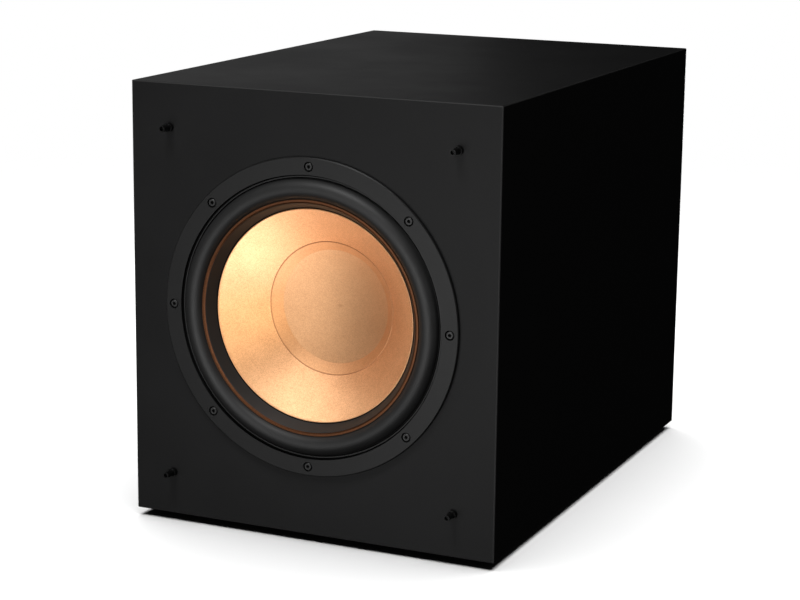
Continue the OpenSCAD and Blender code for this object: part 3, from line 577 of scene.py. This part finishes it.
# Place, target, size in metres and power in watts. The rear light reaches only pieces behind REAR_START.
FLOOR_LIGHT = ("floor_light", (0, 0, 3.2), (0, 0, 0), (4.2, 4.2), 270)
BLACK_LIGHTS = (
    ("key", (-0.12, -1.25, 2.15), (-0.06, -0.30, 0.20), (0.8, 0.6), 6.0),
    ("front", (0.1, -2.6, 0.5), (0, -0.3, 0.23), (1.6, 1.2), 3.4),
    ("low", (0.0, -1.3, 0.02), (0, -0.3, 0.23), (1.2, 0.6), 1.5),
    ("sheen", (-2.4, 1.3, 0.95), (-0.1, 0.0, 0.40), (1.4, 0.9), 6.8),
    ("back_sheen", (-1.4, 2.2, 0.95), (-0.1, -0.1, 0.44), (1.0, 0.6), 0.13),
)
REAR_START = 0.25
REAR_LIGHT = ("rear", (-0.03, 1.95, 0.26), (-0.03, 0.28, 0.26), (0.30, 0.34), 18.0)
SIDE_LIGHT = ("right_side", (2.2, -0.2, 0.24), (0.2, -0.2, 0.24), (0.16, 0.38), 1.3)

# The copper's lights: degrees right of straight ahead, degrees up, power and colour. They share one reach and
# size.
WHITE, WARM = (1, 1, 1), (1, 0.84, 0.60)
COPPER_REACH, ROUND_SIZE = 0.8, (0.35, 0.35)
ROUND_LIGHTS = (
    ("right_low", 65, -12, 2.3, WARM),
    ("right", 61, 16, 1.7, WARM),
    ("top_right", 13, 67, 2.6, WHITE),
    ("top", -60, 62, 2.6, WHITE),
    ("top_left", -85, 41, 1.3, WHITE),
)

# The copper's lights on the floor and far in front: place, size and power.
LOW_LIGHTS = (
    ("floor_near", (0.0, -0.335, 0.012), (0.22, 0.12), 0.5),
    ("floor_right", (0.14, -0.36, 0.012), (0.14, 0.14), 0.4),
    ("floor_front", (0.0, -0.60, 0.012), (0.30, 0.30), 0.6),
    ("front", (0.0, -1.9, 0.46), (1.2, 1.2), 8.6),
)


def area(name, place, target, size, power, only=None, without=None, spread=180, colour=(1, 1, 1)):
    """A soft rectangular light that the camera doesn't see. It can light only some pieces, or all but some.
    Its spread is in degrees."""
    data = bpy.data.lights.new(name, "AREA")
    data.shape = "RECTANGLE"
    data.size, data.size_y = size
    data.energy = power
    data.color = colour
    data.spread = math.radians(spread)
    lamp = bpy.data.objects.new(name, data)
    away = Vector(place) - Vector(target)
    lamp.matrix_world = Matrix.Translation(place) @ away.to_track_quat("Z", "Y").to_matrix().to_4x4()
    lamp.visible_camera = False
    bpy.context.scene.collection.objects.link(lamp)
    if only or without:
        lit = bpy.data.collections.new("lit_by_" + name)
        for piece in only or without:
            lit.objects.link(piece)
        for row in lit.collection_objects:
            row.light_linking.link_state = "INCLUDE" if only else "EXCLUDE"
        lamp.light_linking.receiver_collection = lit


def light_world():
    """The camera sees plain white; everything else is lit by a dim even room."""
    world = bpy.data.worlds.new("studio")
    bpy.context.scene.world = world
    world.use_nodes = True
    tree = world.node_tree
    room = tree.nodes["Background"]
    room.inputs["Color"].default_value = (1, 1, 1, 1)
    room.inputs["Strength"].default_value = ROOM_LIGHT
    seen = tree.nodes.new("ShaderNodeBackground")
    seen.inputs["Color"].default_value = (1, 1, 1, 1)
    seen.inputs["Strength"].default_value = 1.0
    pick = tree.nodes.new("ShaderNodeMixShader")
    path = tree.nodes.new("ShaderNodeLightPath")
    tree.links.new(path.outputs["Is Camera Ray"], pick.inputs["Fac"])
    tree.links.new(room.outputs[0], pick.inputs[1])
    tree.links.new(seen.outputs[0], pick.inputs[2])
    tree.links.new(pick.outputs[0], tree.nodes["World Output"].inputs["Surface"])


def lay_floor():
    """A pale round floor that fades into the white room away from the object."""
    rings, steps, reach = 12, 96, 2.4
    points = [(0, 0, 0)]
    faces = []
    for ring in range(1, rings + 1):
        r = reach * ring / rings
        turns = [2 * math.pi * k / steps for k in range(steps)]
        points += [(r * math.cos(turn), r * math.sin(turn), 0) for turn in turns]
    for k in range(steps):
        faces.append((0, 1 + k, 1 + (k + 1) % steps))
        for ring in range(rings - 1):
            a, b = 1 + ring * steps + k, 1 + ring * steps + (k + 1) % steps
            faces.append((a, a + steps, b + steps, b))
    mesh = bpy.data.meshes.new("floor")
    mesh.from_pydata(points, [], faces)
    floor = bpy.data.objects.new("floor", mesh)
    bpy.context.scene.collection.objects.link(floor)
    finish = Finish("floor", specular=0.1)
    tone = finish.noise(3, 3)
    finish.colour(finish.ramp(tone, (0.3, grey(0.92)), (0.7, grey(0.94))))
    finish.rough(finish.spread(tone, 0.8, 0.9))
    away = finish.node("ShaderNodeVectorMath")
    away.operation = "LENGTH"
    finish.link(finish.place, away.inputs[0])
    fade = finish.node("ShaderNodeMapRange")
    fade.interpolation_type = "SMOOTHSTEP"
    for name, value in (("From Min", 0.7), ("From Max", reach - 0.1), ("To Min", 1.0), ("To Max", 0.0)):
        fade.inputs[name].default_value = value
    finish.link(away.outputs["Value"], fade.inputs["Value"])
    finish.link(fade.outputs["Result"], finish.shader.inputs["Alpha"])
    mesh.materials.append(finish.material)
    floor.visible_glossy = False
    floor.visible_diffuse = False
    return floor


def from_cone(turn, rise):
    """A place at the copper lights' reach, by degrees to the right of straight ahead and degrees up."""
    turn, rise = math.radians(turn), math.radians(rise)
    ahead = Vector((math.sin(turn) * math.cos(rise), -math.cos(turn) * math.cos(rise), math.sin(rise)))
    return Vector((0, FRONT, AXIS)) + COPPER_REACH * ahead


def light_studio(floor, copper_pieces):
    """The black pieces have a soft key above and in front, a soft front and low light, a sheen from behind on
    the left, and weak lights for the right side and the rear. The floor has its own light. The copper has its
    own too: above, on the right, in front, and on the floor just in front of the cabinet."""
    area(*FLOOR_LIGHT, only=[floor])
    for name, place, target, size, power in BLACK_LIGHTS:
        area(name, place, target, size, power, without=copper_pieces + [floor], spread=BLACK_SPREAD)
    rear_pieces = [piece for name, piece in NODES.items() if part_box(name)[0][1] > REAR_START]
    area(*REAR_LIGHT, only=rear_pieces)
    area(*SIDE_LIGHT, without=copper_pieces + [floor])
    cone = Vector((0, FRONT, AXIS))
    for name, turn, rise, power, colour in ROUND_LIGHTS:
        place = from_cone(turn, rise)
        area("copper_" + name, place, cone, ROUND_SIZE, power, only=copper_pieces, colour=colour)
    for name, place, size, power in LOW_LIGHTS:
        area("copper_" + name, place, cone, size, power, only=copper_pieces)


# ---- Build ----

scene = bpy.context.scene
scene.view_settings.view_transform = "Standard"
scene.view_settings.look = "None"
aim_camera()
finishes = make_finishes()
paint_frame(finishes)
make_surround(finishes["surround_rubber"])
copper_trim = make_driver_trim(finishes["gasket_foam"], finishes["cone_copper"], finishes["seam_copper"])
make_screw_shade(finishes["gasket_foam"])
make_spider(finishes["spider_cloth"])
make_leads(finishes["tinsel_braid"])
make_panel_marks(finishes["socket_insulator"])
soften(0.3, "heat_sink", "mains_inlet", "rocker_bezel", "power_rocker", "level_knob", "lowpass_knob")
soften(0.2, "fuse_drawer", "line_shells", "line_insulators", "amp_screws", "phase_slider", "auto_slider")
light_world()
copper_pieces = [NODES[name] for name in ("cone", "cone_edge", "dust_cap")] + copper_trim
for piece in copper_pieces:
    piece.visible_diffuse = False
light_studio(lay_floor(), copper_pieces)
